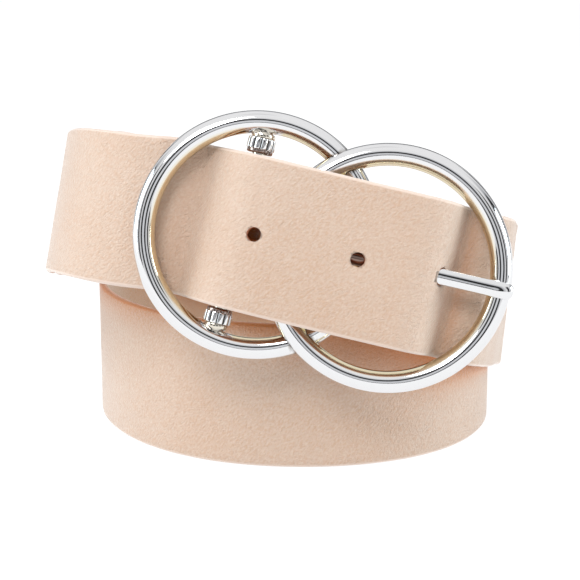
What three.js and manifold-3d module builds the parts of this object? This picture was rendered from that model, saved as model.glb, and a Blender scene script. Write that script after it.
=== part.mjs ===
// A double ring belt, buckled and rolled into two turns, standing on its lower edge.
// Millimetres, +Z up, the buckle faces -Y. The origin is under the middle of the whole belt.

import * as THREE from 'three';
import { mergeVertices } from 'three/addons/utils/BufferGeometryUtils.js';
import Module from 'manifold-3d';

const wasm = await Module();
wasm.setup();

// Strap
const strapWidth = 45;
const strapThickness = 2.6;
const strapChamfer = 0.5;
const tabLength = 44;
const holeDiameter = 4.2;
const holePitch = 30.3;
const holesEachSide = 2;
const tongueHoleLead = 6.6;
const tipPastLastHole = 128;
const layerGap = 0.4;

// Buckle metal
const tubeDiameter = 6.6;
const ringPitch = 39;
const ringStep = 2;
const barDiameter = 4;
const barSetback = 5.2;
const socketDepth = 1.4;
const collarDiameter = 8.4;
const collarLength = 4.4;
const collarFlangeLength = 1.1;
const collarFlangeDiameter = 7.6;
const collarFlangeChamfer = 0.5;
const collarFlutes = 12;
const fluteDepth = 0.55;
const tongueWidth = 4.8;
const tongueThickness = 2.6;
const tongueRootDip = 3;
const tongueMiddleDip = 0.5;
const tongueTipDip = 0.75;
const tongueTipLength = 2.2;
const tongueRoundness = 0.75;
const eyeWall = 1.6;
const eyeWidth = 5;
const slotRadius = 5.4;
const metalGap = 0.3;
const collarEndGap = 0.6;

// How the buckled belt lies
const buckleRoll = THREE.MathUtils.degToRad(14.2);
const bucklePitch = THREE.MathUtils.degToRad(12);
const strapSkew = THREE.MathUtils.degToRad(0.5);
const tongueSkew = THREE.MathUtils.degToRad(1.4);
const rightSlopeRun = 15.7;
const leftSlopeRun = 25.7;
const leftBulge = 28.7;
const rightBulge = 11.5;
const cornerDepth = 64;
const lowerInset = 7.9;
const lowerSkew = 1.9;
const lowerSquareness = 0.7;
const buckleStandOff = 7.2;
const turnClearance = 5.9;
const loopShift = -1.6;
const rightArcLead = 2.6;
const rightArcTuck = 1.4;
const leftArcTuck = 0.3;
const leftArcSlip = 1;
const tabLayersIn = 2.05;

// Fineness of the curved bodies
const fineStep = 0.5;
const chordTolerance = 0.1;
const longestChord = 16;
const ringSteps = 60;
const tubeSides = 12;
const barSides = 16;
const eyeSides = 20;
const holeSides = 14;
const slotSides = 24;
const fluteSteps = 4;
const tongueSides = 12;
const tongueSteps = 34;
const tipSteps = 8;
const tipLastShare = 0.97;
const overlapForUnion = 0.2;

// Sizes worked out from the ones above
const layerPitch = strapThickness + layerGap;
const tubeRadius = tubeDiameter / 2;
const collarRadius = collarDiameter / 2;
const collarStart = strapWidth / 2 + collarEndGap;
const collarEnd = collarStart + collarLength;
const ringInnerRadius = Math.hypot(collarEnd + collarEndGap, barSetback + collarRadius);
const ringRadius = ringInnerRadius + tubeRadius;
const ringOuterRadius = ringRadius + tubeRadius;
const barHalfLength = Math.sqrt(ringInnerRadius ** 2 - barSetback ** 2) + socketDepth - metalGap;
const leftReach = ringOuterRadius + leftBulge;
const rightReach = ringPitch + ringRadius + rightBulge;
const loopHalfWidth = (leftReach + rightReach) / 2 * Math.cos(buckleRoll);
const coilRadius = loopHalfWidth - lowerInset;
const leftRingLevel = -ringStep / 2;
const rightRingLevel = ringStep / 2;
const tongueLevel = rightRingLevel + tubeRadius + metalGap + tongueThickness / 2;
const overLevel = tongueLevel + tongueThickness / 2 + layerGap + strapThickness / 2;
const leftUnderLevel = leftRingLevel - tubeRadius - layerGap - strapThickness / 2;
const rightUnderLevel = rightRingLevel - tubeRadius - layerGap - strapThickness / 2;
const boreRadius = barDiameter / 2 + metalGap;
const eyeRadius = boreRadius + eyeWall;
const foldRadius = boreRadius + chordTolerance + strapThickness / 2;
const lowerMiddle = strapWidth / 2;
const rise = strapWidth + turnClearance;

// The buckle's own frame: u along the strap to the right, v up across it, n out of its face
const buckleAxes = {
  u: new THREE.Vector3(
    Math.cos(buckleRoll),
    -Math.sin(buckleRoll) * Math.sin(bucklePitch),
    -Math.sin(buckleRoll) * Math.cos(bucklePitch),
  ),
  v: new THREE.Vector3(
    Math.sin(buckleRoll),
    Math.cos(buckleRoll) * Math.sin(bucklePitch),
    Math.cos(buckleRoll) * Math.cos(bucklePitch),
  ),
  n: new THREE.Vector3(0, -Math.cos(bucklePitch), Math.sin(bucklePitch)),
};
const buckleOrigin = new THREE.Vector3(
  loopShift - (rightReach - leftReach) / 2 * Math.cos(buckleRoll),
  -(coilRadius + buckleStandOff),
  lowerMiddle + rise,
);

function inBuckle(u, v, n) {
  return buckleOrigin.clone()
    .addScaledVector(buckleAxes.u, u)
    .addScaledVector(buckleAxes.v, v)
    .addScaledVector(buckleAxes.n, n);
}

function strapV(u) {
  return Math.tan(strapSkew) * u;
}

// Free strap inside the buckle, from the right arc to the left arc: it lies flat behind both
// outer arcs and stands proud between them, over the tongue and the middle arcs.
// along is the share of the slope's length, drop the share of the step between two levels.
const rightSlope = [
  { along: 1, drop: 0.98 },
  { along: 0.89, drop: 0.9 },
  { along: 0.78, drop: 0.66 },
  { along: 0.66, drop: 0.37 },
  { along: 0.52, drop: 0.146 },
  { along: 0.32, drop: 0.023 },
  { along: 0, drop: 0 },
];
const leftSlope = [
  { along: 0, drop: 0 },
  { along: 0.195, drop: 0.034 },
  { along: 0.39, drop: 0.107 },
  { along: 0.6, drop: 0.329 },
  { along: 0.747, drop: 0.59 },
  { along: 0.856, drop: 0.84 },
  { along: 0.965, drop: 0.987 },
];
const rightArc = ringPitch + ringRadius;
const leftArc = -ringRadius;

// Length of the flat run: from the arc's middle line to where the ring clears the strap's edge
const edgeReach = strapWidth / 2 + strapV(rightArc);
const flatRun = ringRadius - Math.sqrt(ringRadius ** 2 - edgeReach ** 2) + tubeRadius;
const crestStart = rightArc - flatRun - rightSlopeRun;
const crestEnd = leftArc + flatRun + leftSlopeRun;

function slopeRows(rows, crest, run, toLevel) {
  return rows.map(({ along, drop }) => ({
    u: crest + along * run,
    n: THREE.MathUtils.lerp(overLevel, toLevel, drop),
  }));
}

// Corners of the upper turn beside the rings. out is the share of the bulge past the ring,
// on the right past its middle line, back the share of the corner's depth,
// slide the share of the strap's width by which the strap has moved sideways.
const leftCornerRows = [
  { out: 0.19, back: 0.133, slide: -0.054 },
  { out: 0.52, back: 0.22, slide: -0.071 },
  { out: 0.785, back: 0.4, slide: -0.082 },
  { out: 0.945, back: 0.64, slide: -0.1 },
  { out: 1, back: 0.94, slide: -0.125 },
];
const rightCornerRows = [
  { out: 0.915, back: 1, slide: 0.024 },
  { out: 0.75, back: 0.812, slide: 0.023 },
  { out: 0.571, back: 0.625, slide: 0.022 },
  { out: 0.397, back: 0.437, slide: 0.02 },
  { out: 0.19, back: 0.28, slide: 0.018 },
  { out: 0.04, back: 0.172, slide: 0.018 },
];

const leftCorner = leftCornerRows.map(({ out, back, slide }) => ({
  u: -(ringOuterRadius + out * leftBulge),
  n: -back * cornerDepth,
  v: slide * strapWidth,
}));
const rightCorner = rightCornerRows.map(({ out, back, slide }) => ({
  u: rightArc + out * rightBulge,
  n: -back * cornerDepth,
  v: slide * strapWidth,
}));

// The turns round the axis. turn counts from the front, going left; out is the share of the
// lower turn's inset, layer counts leather layers outward, height is the share of the rise,
// roll and pitch are shares of the buckle's own lean.
const firstTurnRows = [
  { turn: 0.278, out: 0.62, layer: 0, height: 0.922, roll: 0.57, pitch: 1 },
  { turn: 0.306, out: 0.2, layer: -0.1, height: 0.9, roll: 0.55, pitch: 0.95 },
  { turn: 0.328, out: 0, layer: -0.35, height: 0.85, roll: 0.5, pitch: 0.9 },
  { turn: 0.356, out: 0, layer: -0.65, height: 0.775, roll: 0.45, pitch: 0.8 },
  { turn: 0.417, out: 0, layer: -0.65, height: 0.588, roll: 0.35, pitch: 0.65 },
  { turn: 0.5, out: 0, layer: -0.55, height: 0.344, roll: 0.2, pitch: 0.45 },
  { turn: 0.57, out: 0, layer: -0.45, height: 0.171, roll: 0.1, pitch: 0.25 },
  { turn: 0.64, out: 0, layer: -0.25, height: 0.053, roll: 0.03, pitch: 0.08 },
  { turn: 0.695, out: 0, layer: -0.05, height: 0.006, roll: 0, pitch: 0 },
];
const lowerTurnStart = 0.73;
const lowerTurnEnd = 1.25;
const lowerTurnRows = 12;
const secondTurnRows = [
  { turn: 1.278, out: 0, layer: 0.5, height: 0, roll: 0, pitch: 0 },
  { turn: 1.306, out: 0, layer: 1.1, height: 0, roll: 0, pitch: 0 },
  { turn: 1.334, out: 0, layer: 1.6, height: 0.008, roll: 0.02, pitch: 0.05 },
  { turn: 1.389, out: 0, layer: 1.85, height: 0.05, roll: 0.08, pitch: 0.2 },
  { turn: 1.444, out: 0, layer: 1.85, height: 0.114, roll: 0.15, pitch: 0.35 },
  { turn: 1.5, out: 0, layer: 1.85, height: 0.183, roll: 0.22, pitch: 0.5 },
  { turn: 1.569, out: 0.03, layer: 1.95, height: 0.257, roll: 0.3, pitch: 0.7 },
  { turn: 1.639, out: 0.15, layer: 2, height: 0.308, roll: 0.4, pitch: 0.9 },
  { turn: 1.689, out: 0.32, layer: 1.7, height: 0.332, roll: 0.47, pitch: 1 },
];
const freeEndRows = [
  { turn: 2.269, out: 0.94, layer: 1, height: 0.922, roll: 0.58, pitch: 1.05 },
  { turn: 2.306, out: 0.77, layer: 1, height: 0.874, roll: 0.56, pitch: 1 },
  { turn: 2.345, out: 0.55, layer: 1, height: 0.812, roll: 0.55, pitch: 0.95 },
  { turn: 2.39, out: 0.35, layer: 1, height: 0.745, roll: 0.5, pitch: 0.9 },
];
const cornerLean = { roll: 0.6, pitch: 1.05 };
const rightCornerLean = { roll: 0.46, pitch: 1.08 };

function turnPoint({ turn, out, layer, height, roll, pitch }) {
  const angle = turn * 2 * Math.PI;
  const radius = coilRadius + out * lowerInset + layer * layerPitch;
  return {
    place: new THREE.Vector3(
      -radius * Math.sin(angle),
      -radius * Math.cos(angle),
      lowerMiddle + height * rise,
    ),
    roll,
    pitch,
  };
}

function bucklePoint({ u, v, n }, roll = 1, pitch = 1) {
  return { place: inBuckle(u, v, n), roll, pitch };
}

// Rows moved towards the inside of the coil by whole layers, square to the way they run
function movedIn(rows, layers) {
  return rows.map((row, i) => {
    const before = rows[Math.max(i - 1, 0)];
    const after = rows[Math.min(i + 1, rows.length - 1)];
    const run = new THREE.Vector2(after.u - before.u, after.n - before.n).normalize();
    return {
      u: row.u - run.y * layers * layerPitch,
      v: row.v,
      n: row.n + run.x * layers * layerPitch,
    };
  });
}

const straightV = (rows) => rows.map(({ u, n }) => ({ u, v: strapV(u), n }));
const freeRight = straightV([
  { u: rightArc - rightArcLead, n: rightUnderLevel - rightArcTuck },
  { u: rightArc - flatRun / 2, n: rightUnderLevel },
  ...slopeRows(rightSlope, crestStart, rightSlopeRun, rightUnderLevel),
]);
const freeLeft = [
  ...straightV([
    ...slopeRows(leftSlope, crestEnd, -leftSlopeRun, leftUnderLevel),
    { u: leftArc + flatRun / 2, n: leftUnderLevel },
  ]),
  { u: leftArc, v: strapV(leftArc) - leftArcSlip, n: leftUnderLevel - leftArcTuck },
];
const leftRun = [...freeLeft, ...leftCorner];

// The layers under the free strap follow it from these rows of the left run on
const fixedFirstRow = 3;
const tabFirstRow = 6;
const tabRowCount = 5;

function foldPoints() {
  const points = [];
  for (let degrees = -90; degrees <= 90; degrees += 30) {
    const angle = THREE.MathUtils.degToRad(degrees);
    points.push({
      u: -barSetback + foldRadius * Math.cos(angle),
      v: 0,
      n: leftRingLevel + foldRadius * Math.sin(angle),
    });
  }
  return points;
}

function leanAlong(rows, from, to) {
  return rows.map((row, i) => {
    const share = (i + 1) / rows.length;
    return bucklePoint(
      row,
      THREE.MathUtils.lerp(from.roll, to.roll, share),
      THREE.MathUtils.lerp(from.pitch, to.pitch, share),
    );
  });
}

function lowerTurn() {
  const points = [];
  for (let i = 0; i <= lowerTurnRows; i += 1) {
    const turn = THREE.MathUtils.lerp(lowerTurnStart, lowerTurnEnd, i / lowerTurnRows);
    const diagonal = Math.sin((1 - turn) * 4 * Math.PI);
    const bulge = lowerSkew * diagonal + lowerSquareness * diagonal ** 2;
    points.push(turnPoint({
      turn, out: bulge / lowerInset, layer: 0, height: 0, roll: 0, pitch: 0,
    }));
  }
  return points;
}

const upright = { roll: 1, pitch: 1 };
const tabRun = movedIn(leftRun, tabLayersIn).slice(tabFirstRow, tabFirstRow + tabRowCount);
const fixedRun = movedIn(leftRun, 1);
const route = [
  ...tabRun.reverse().map((row) => bucklePoint(row)),
  ...foldPoints().map((row) => bucklePoint(row)),
  ...fixedRun.slice(fixedFirstRow, freeLeft.length).map((row) => bucklePoint(row)),
  ...leanAlong(fixedRun.slice(freeLeft.length), upright, cornerLean),
  ...firstTurnRows.map(turnPoint),
  ...lowerTurn(),
  ...secondTurnRows.map(turnPoint),
  ...leanAlong([...rightCorner].reverse(), upright, rightCornerLean).reverse(),
  ...freeRight.map((row) => bucklePoint(row)),
  ...freeLeft.map((row) => bucklePoint(row)),
  ...leanAlong(leftCorner, upright, cornerLean),
  ...freeEndRows.map(turnPoint),
];

// Closely spaced stations along the strap's middle line, each with its three directions
function strapStations() {
  const curve = new THREE.CatmullRomCurve3(route.map((row) => row.place), false, 'centripetal');
  curve.arcLengthDivisions = 4000;
  const length = curve.getLength();
  const count = Math.round(length / fineStep);
  const stations = [];
  for (let i = 0; i <= count; i += 1) {
    const t = curve.getUtoTmapping(i / count) * (route.length - 1);
    const row = Math.min(Math.floor(t), route.length - 2);
    const share = t - row;
    const roll = THREE.MathUtils.lerp(route[row].roll, route[row + 1].roll, share);
    const pitch = THREE.MathUtils.lerp(route[row].pitch, route[row + 1].pitch, share);
    const up = new THREE.Vector3(
      roll * buckleAxes.v.x / buckleAxes.v.z,
      pitch * buckleAxes.v.y / buckleAxes.v.z,
      1,
    );
    stations.push({ place: curve.getPointAt(i / count), up, along: i / count * length });
  }
  stations.forEach((station, i) => {
    const before = stations[Math.max(i - 1, 0)].place;
    const after = stations[Math.min(i + 1, count)].place;
    const run = after.clone().sub(before).normalize();
    station.run = run;
    station.up.addScaledVector(run, -station.up.dot(run)).normalize();
    station.out = station.up.clone().cross(run).normalize();
  });
  return stations;
}

const stations = strapStations();

// Trim the tab to its length behind the bar and the tip to its length past the last hole
function stationNearest(place, fromIndex, toIndex) {
  let best = fromIndex;
  for (let i = fromIndex; i < toIndex; i += 1) {
    if (stations[i].place.distanceTo(place) < stations[best].place.distanceTo(place)) {
      best = i;
    }
  }
  return best;
}

function levelOf(station) {
  return station.place.clone().sub(buckleOrigin).dot(buckleAxes.n);
}

function reachOf(station) {
  return station.place.clone().sub(buckleOrigin).dot(buckleAxes.u);
}

function tongueHoleIndex() {
  const half = Math.floor(stations.length / 2);
  for (let i = half; i < stations.length; i += 1) {
    const nearRightArc = reachOf(stations[i]) < rightArc && reachOf(stations[i]) > crestStart;
    if (nearRightArc && levelOf(stations[i]) > tongueLevel) {
      return i;
    }
  }
  return half;
}

const perMillimetre = (stations.length - 1) / stations[stations.length - 1].along;
const tongueHole = tongueHoleIndex();
const lastHole = tongueHole + Math.round(holesEachSide * holePitch * perMillimetre);
const tipIndex = Math.min(
  lastHole + Math.round(tipPastLastHole * perMillimetre),
  stations.length - 1,
);
const foldIndex = stationNearest(
  inBuckle(-barSetback + foldRadius, 0, leftRingLevel), 0, Math.floor(stations.length / 4),
);
const tabIndex = Math.max(foldIndex - Math.round(tabLength * perMillimetre), 0);

// Stations as far apart as the tolerance allows
function thinned(fromIndex, toIndex) {
  const kept = [fromIndex];
  const chord = new THREE.Line3();
  const nearest = new THREE.Vector3();
  let start = fromIndex;
  for (let i = fromIndex + 2; i <= toIndex; i += 1) {
    chord.set(stations[start].place, stations[i].place);
    let worst = 0;
    for (let k = start + 1; k < i; k += 1) {
      chord.closestPointToPoint(stations[k].place, true, nearest);
      worst = Math.max(worst, nearest.distanceTo(stations[k].place));
    }
    if (worst > chordTolerance || chord.distance() > longestChord) {
      start = i - 1;
      kept.push(start);
    }
  }
  kept.push(toIndex);
  return kept.map((index) => stations[index]);
}

// A closed body swept through stations, each with its own ring of points
function sweptGeometry(rings) {
  const size = rings[0].length;
  const positions = rings.flat().flatMap((point) => point.toArray());
  const triangles = [];
  for (let i = 0; i < rings.length - 1; i += 1) {
    for (let j = 0; j < size; j += 1) {
      const next = (j + 1) % size;
      const a = i * size + j;
      const b = i * size + next;
      const c = (i + 1) * size + next;
      const d = (i + 1) * size + j;
      triangles.push(a, b, c, a, c, d);
    }
  }
  const last = (rings.length - 1) * size;
  for (let j = 1; j < size - 1; j += 1) {
    triangles.push(0, j + 1, j, last, last + j, last + j + 1);
  }
  const geometry = new THREE.BufferGeometry();
  geometry.setAttribute('position', new THREE.Float32BufferAttribute(positions, 3));
  geometry.setIndex(triangles);
  return geometry;
}

function toManifold(geometry) {
  const bare = geometry.clone();
  bare.deleteAttribute('normal');
  bare.deleteAttribute('uv');
  const merged = mergeVertices(bare, 1e-5);
  const mesh = new wasm.Mesh({
    numProp: 3,
    vertProperties: new Float32Array(merged.attributes.position.array),
    triVerts: new Uint32Array(merged.index.array),
  });
  return new wasm.Manifold(mesh);
}

function fromManifold(solid) {
  const mesh = solid.getMesh();
  const geometry = new THREE.BufferGeometry();
  geometry.setAttribute('position', new THREE.Float32BufferAttribute(mesh.vertProperties, 3));
  geometry.setIndex(Array.from(mesh.triVerts));
  geometry.computeVertexNormals();
  return geometry;
}

// Tongue: a rounded bar swept from the eye on the bar over both rings
const tongueRows = [
  { u: -barSetback + eyeRadius * 2 / 3, n: leftRingLevel + eyeRadius / 2 },
  { u: -barSetback + eyeRadius * 4 / 3, n: tongueLevel - tongueRootDip },
  { u: ringPitch - ringOuterRadius, n: tongueLevel - tongueMiddleDip },
  { u: ringPitch - ringRadius, n: tongueLevel },
  { u: ringPitch, n: tongueLevel },
  { u: ringPitch + ringInnerRadius, n: tongueLevel },
  { u: rightArc, n: tongueLevel },
  { u: ringPitch + ringOuterRadius, n: tongueLevel - tongueTipDip },
];

// back is the share of the tip's length from its end, size the share of the full section
const tongueTipShares = [
  { back: 0.81, size: 0.93 },
  { back: 0.32, size: 0.78 },
  { back: 0, size: 0.42 },
];

// Rounder than a square and fuller than an ellipse
function rounded(value) {
  return Math.sign(value) * Math.abs(value) ** tongueRoundness;
}

function tongueBody(extra) {
  const curve = new THREE.CatmullRomCurve3(
    tongueRows.map(({ u, n }) => new THREE.Vector3(u, Math.tan(tongueSkew) * (u + barSetback), n)),
    false,
    'centripetal',
  );
  const length = curve.getLength();
  const stops = [];
  for (let i = 0; i <= tongueSteps; i += 1) {
    stops.push({ at: i / tongueSteps * (1 - tongueTipLength / length), size: 1 });
  }
  tongueTipShares.forEach(({ back, size }) => {
    stops.push({ at: 1 - back * tongueTipLength / length, size });
  });
  const rings = stops.map(({ at, size }) => {
    const place = curve.getPointAt(at);
    const run = curve.getTangentAt(at);
    const across = new THREE.Vector3(0, 1, 0);
    across.addScaledVector(run, -across.dot(run)).normalize();
    const out = run.clone().cross(across);
    const ring = [];
    for (let j = 0; j < tongueSides; j += 1) {
      const angle = (j + 0.5) / tongueSides * 2 * Math.PI;
      const wide = (tongueWidth / 2 * size + extra) * rounded(Math.cos(angle));
      const thick = (tongueThickness / 2 * size + extra) * rounded(Math.sin(angle));
      const local = place.clone().addScaledVector(across, wide).addScaledVector(out, thick);
      ring.push(inBuckle(local.x, local.y, local.z));
    }
    return ring;
  });
  return sweptGeometry(rings);
}

// Turns a body made round the Y axis so that it sits round the bar
function onBar(geometry) {
  const basis = new THREE.Matrix4().makeBasis(
    buckleAxes.n, buckleAxes.v, buckleAxes.u.clone().negate(),
  );
  const centre = inBuckle(-barSetback, 0, leftRingLevel);
  return geometry.applyMatrix4(basis).translate(centre.x, centre.y, centre.z);
}

// A round rod along the bar's axis
function alongBar(radius, length, sides) {
  return onBar(new THREE.CylinderGeometry(radius, radius, length, sides));
}

function tongueEye() {
  const half = eyeWidth / 2;
  const profile = [
    new THREE.Vector2(boreRadius, -half),
    new THREE.Vector2(eyeRadius, -half),
    new THREE.Vector2(eyeRadius, half),
    new THREE.Vector2(boreRadius, half),
    new THREE.Vector2(boreRadius, -half),
  ];
  return onBar(new THREE.LatheGeometry(profile, eyeSides));
}

function makeTongue() {
  const bore = alongBar(boreRadius, eyeWidth * 2, eyeSides);
  const body = toManifold(tongueBody(0)).subtract(toManifold(bore));
  return fromManifold(toManifold(tongueEye()).add(body));
}

// Rings: two round tubes, the right one lying on the left one, soldered where they cross
function ringTube(u, level) {
  const geometry = new THREE.TorusGeometry(ringRadius, tubeRadius, tubeSides, ringSteps);
  const basis = new THREE.Matrix4().makeBasis(buckleAxes.u, buckleAxes.v, buckleAxes.n);
  const centre = inBuckle(u, 0, level);
  return geometry.applyMatrix4(basis).translate(centre.x, centre.y, centre.z);
}

function makeDoubleRing() {
  const left = toManifold(ringTube(0, leftRingLevel));
  const right = toManifold(ringTube(ringPitch, rightRingLevel));
  const sockets = alongBar(boreRadius, 2 * (barHalfLength + metalGap), barSides);
  return fromManifold(left.add(right).subtract(toManifold(sockets)));
}

function makeBar() {
  return alongBar(barDiameter / 2, 2 * barHalfLength, barSides);
}

// Collar: a fluted drum with a plain flange on the side of the strap, bored for the bar
function collarOutline() {
  const outline = new THREE.Shape();
  const steps = collarFlutes * fluteSteps;
  for (let i = 0; i < steps; i += 1) {
    const angle = i / steps * 2 * Math.PI;
    const radius = collarRadius - (i % fluteSteps === 0 ? fluteDepth : 0);
    const x = radius * Math.cos(angle);
    const y = radius * Math.sin(angle);
    if (i === 0) {
      outline.moveTo(x, y);
    } else {
      outline.lineTo(x, y);
    }
  }
  outline.closePath();
  const bore = new THREE.Path();
  bore.absarc(0, 0, boreRadius, 0, 2 * Math.PI, true);
  outline.holes.push(bore);
  return outline;
}

function makeCollar(side) {
  const drum = new THREE.ExtrudeGeometry(collarOutline(), {
    depth: collarLength - collarFlangeLength,
    bevelEnabled: false,
    curveSegments: eyeSides / 2,
  });
  drum.rotateX(-Math.PI / 2);
  drum.translate(0, collarFlangeLength, 0);
  const flangeRadius = collarFlangeDiameter / 2;
  const flangeEnd = collarFlangeLength + overlapForUnion;
  const flange = new THREE.LatheGeometry([
    new THREE.Vector2(boreRadius, 0),
    new THREE.Vector2(flangeRadius - collarFlangeChamfer, 0),
    new THREE.Vector2(flangeRadius, collarFlangeChamfer),
    new THREE.Vector2(flangeRadius, flangeEnd),
    new THREE.Vector2(boreRadius, flangeEnd),
    new THREE.Vector2(boreRadius, 0),
  ], eyeSides);
  const body = fromManifold(toManifold(drum).add(toManifold(flange)));
  body.translate(0, collarStart, 0);
  if (side < 0) {
    body.rotateX(Math.PI);
  }
  return onBar(body);
}

// Strap: a flat band with chamfered edges, its tip rounded, its holes punched
function strapSection(half) {
  const thick = strapThickness / 2;
  const cut = Math.min(strapChamfer, half / 2);
  return [
    { v: half, n: -thick + cut },
    { v: half - cut, n: -thick },
    { v: -half + cut, n: -thick },
    { v: -half, n: -thick + cut },
    { v: -half, n: thick - cut },
    { v: -half + cut, n: thick },
    { v: half - cut, n: thick },
    { v: half, n: thick - cut },
  ];
}

function strapRing(station, half) {
  return strapSection(half).map(({ v, n }) => station.place.clone()
    .addScaledVector(station.up, v)
    .addScaledVector(station.out, n));
}

function strapBody() {
  const half = strapWidth / 2;
  const tipStart = tipIndex - Math.round(half * perMillimetre);
  const rings = thinned(tabIndex, tipStart).map((station) => strapRing(station, half));
  for (let i = 1; i <= tipSteps; i += 1) {
    const angle = i / tipSteps * Math.PI / 2 * tipLastShare;
    const station = stations[tipStart + Math.round(half * Math.sin(angle) * perMillimetre)];
    rings.push(strapRing(station, half * Math.cos(angle)));
  }
  return sweptGeometry(rings);
}

function holePunch(station) {
  const radius = holeDiameter / 2;
  const punch = new THREE.CylinderGeometry(radius, radius, strapThickness * 2, holeSides);
  punch.applyQuaternion(
    new THREE.Quaternion().setFromUnitVectors(new THREE.Vector3(0, 1, 0), station.out),
  );
  return punch.translate(station.place.x, station.place.y, station.place.z);
}

function makeStrap() {
  let strap = toManifold(strapBody());
  for (let k = -holesEachSide; k <= holesEachSide; k += 1) {
    if (k !== 0) {
      const along = k * holePitch - tongueHoleLead;
      const station = stations[tongueHole + Math.round(along * perMillimetre)];
      strap = strap.subtract(toManifold(holePunch(station)));
    }
  }
  const slotLength = Math.max(eyeWidth, tongueWidth) + 4 * metalGap;
  const slot = toManifold(alongBar(slotRadius, slotLength, slotSides));
  const tonguePassage = toManifold(tongueBody(metalGap));
  return fromManifold(strap.subtract(slot).subtract(tonguePassage));
}

// Finishes
const leather = new THREE.MeshStandardMaterial({ color: 0xe3c9b6, roughness: 0.6, metalness: 0 });
const chrome = new THREE.MeshStandardMaterial({ color: 0xd9dadb, roughness: 0.12, metalness: 1 });

const belt = new THREE.Group();

function addPiece(name, geometry, material) {
  const mesh = new THREE.Mesh(geometry, material);
  mesh.name = name;
  belt.add(mesh);
}

addPiece('strap', makeStrap(), leather);
addPiece('double_ring', makeDoubleRing(), chrome);
addPiece('bar', makeBar(), chrome);
addPiece('collar_upper', makeCollar(1), chrome);
addPiece('collar_lower', makeCollar(-1), chrome);
addPiece('tongue', makeTongue(), chrome);

// Stand the belt over the origin: middle of its box in plan, its lowest edge at zero
const box = new THREE.Box3().setFromObject(belt, true);
const middle = box.getCenter(new THREE.Vector3());
belt.position.set(-middle.x, -middle.y, -box.min.z);
belt.updateMatrixWorld(true);

export default belt;
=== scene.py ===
import math

import bpy
import numpy as np
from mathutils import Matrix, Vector


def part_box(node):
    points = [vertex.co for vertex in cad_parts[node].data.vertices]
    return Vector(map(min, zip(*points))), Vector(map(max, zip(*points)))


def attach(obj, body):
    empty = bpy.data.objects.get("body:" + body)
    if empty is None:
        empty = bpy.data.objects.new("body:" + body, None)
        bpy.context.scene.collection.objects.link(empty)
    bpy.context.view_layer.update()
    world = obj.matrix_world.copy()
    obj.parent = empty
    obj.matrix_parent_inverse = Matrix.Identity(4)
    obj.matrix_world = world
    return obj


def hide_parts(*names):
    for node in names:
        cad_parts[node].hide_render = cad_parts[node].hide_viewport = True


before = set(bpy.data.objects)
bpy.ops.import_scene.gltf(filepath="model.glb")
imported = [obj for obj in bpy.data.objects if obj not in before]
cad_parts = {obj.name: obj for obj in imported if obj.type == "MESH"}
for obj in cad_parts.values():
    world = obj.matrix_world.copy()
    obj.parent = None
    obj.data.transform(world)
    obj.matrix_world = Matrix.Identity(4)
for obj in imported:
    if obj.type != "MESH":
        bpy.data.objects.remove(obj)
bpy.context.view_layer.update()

# Sizes in millimetres, as in the part's source
STRAP_WIDTH = 45.0
STRAP_THICKNESS = 2.6
TAB_LENGTH = 44.0
HOLE_DIAMETER = 4.2
HOLE_PITCH = 30.3
HOLES_EACH_SIDE = 2
TIP_PAST_LAST_HOLE = 128.0
LAYER_GAP = 0.4
TUBE_RADIUS = 3.3
RING_PITCH = 39.0
RING_STEP = 2.0
BAR_RADIUS = 2.0
BAR_SETBACK = 5.2
SOCKET_DEPTH = 1.4
COLLAR_RADIUS = 4.2
COLLAR_LENGTH = 4.4
COLLAR_FLANGE_LENGTH = 1.1
COLLAR_FLANGE_RADIUS = 3.8
COLLAR_FLUTES = 12
FLUTE_DEPTH = 0.55
TONGUE_WIDTH = 4.8
TONGUE_THICKNESS = 2.6
EYE_WALL = 1.6
EYE_WIDTH = 5.0
SLOT_RADIUS = 5.4
METAL_GAP = 0.3
END_GAP = 0.6
BUCKLE_ROLL = math.radians(14.2)
BUCKLE_PITCH = math.radians(12.0)
STRAP_SKEW = math.radians(0.5)
TONGUE_SKEW = math.radians(1.4)
RIGHT_SLOPE_RUN = 15.7
LEFT_SLOPE_RUN = 25.7
LEFT_BULGE = 28.7
RIGHT_BULGE = 11.5
CORNER_DEPTH = 64
LOWER_INSET = 7.9
STAND_OFF = 7.2
TURN_CLEARANCE = 5.9
RIGHT_ARC_LEAD = 2.6
LEFT_ARC_SLIP = 1
LOWER_SKEW = 1.9
LOWER_SQUARENESS = 0.7
TONGUE_HOLE_LEAD = 6.6
LOOP_SHIFT = -1.6
CHORD_TOLERANCE = 0.1

# Sizes of the visual model alone, in millimetres
STEP = 0.25
HOLE_BAND = 4.2
EDGE_ROUNDING = 1.05
SWELL = 0.05
LIP_DEPTH = 0.16
LIP_WIDTH = 1.0
EDGE_WAVE = 0.12
EDGE_WAVE_LENGTH = 17.0
CREASE_RADIUS = 22.0
CREASE_START = 0.45
TONGUE_TIP = 2.2
TONGUE_LOOK_AHEAD = 0.3
COVER_FADE = 1.5
EYE_ROUNDING = 0.4
EYE_BEVEL = 0.15
BOSS_RADIUS = 3.5
BOSS_GAP = 0.15
BOSS_LENGTH = 1.0
COLLAR_ROUNDING = 0.4
SEAM_WIDTH = 0.55
WALL_MARGIN = 0.1

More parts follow.
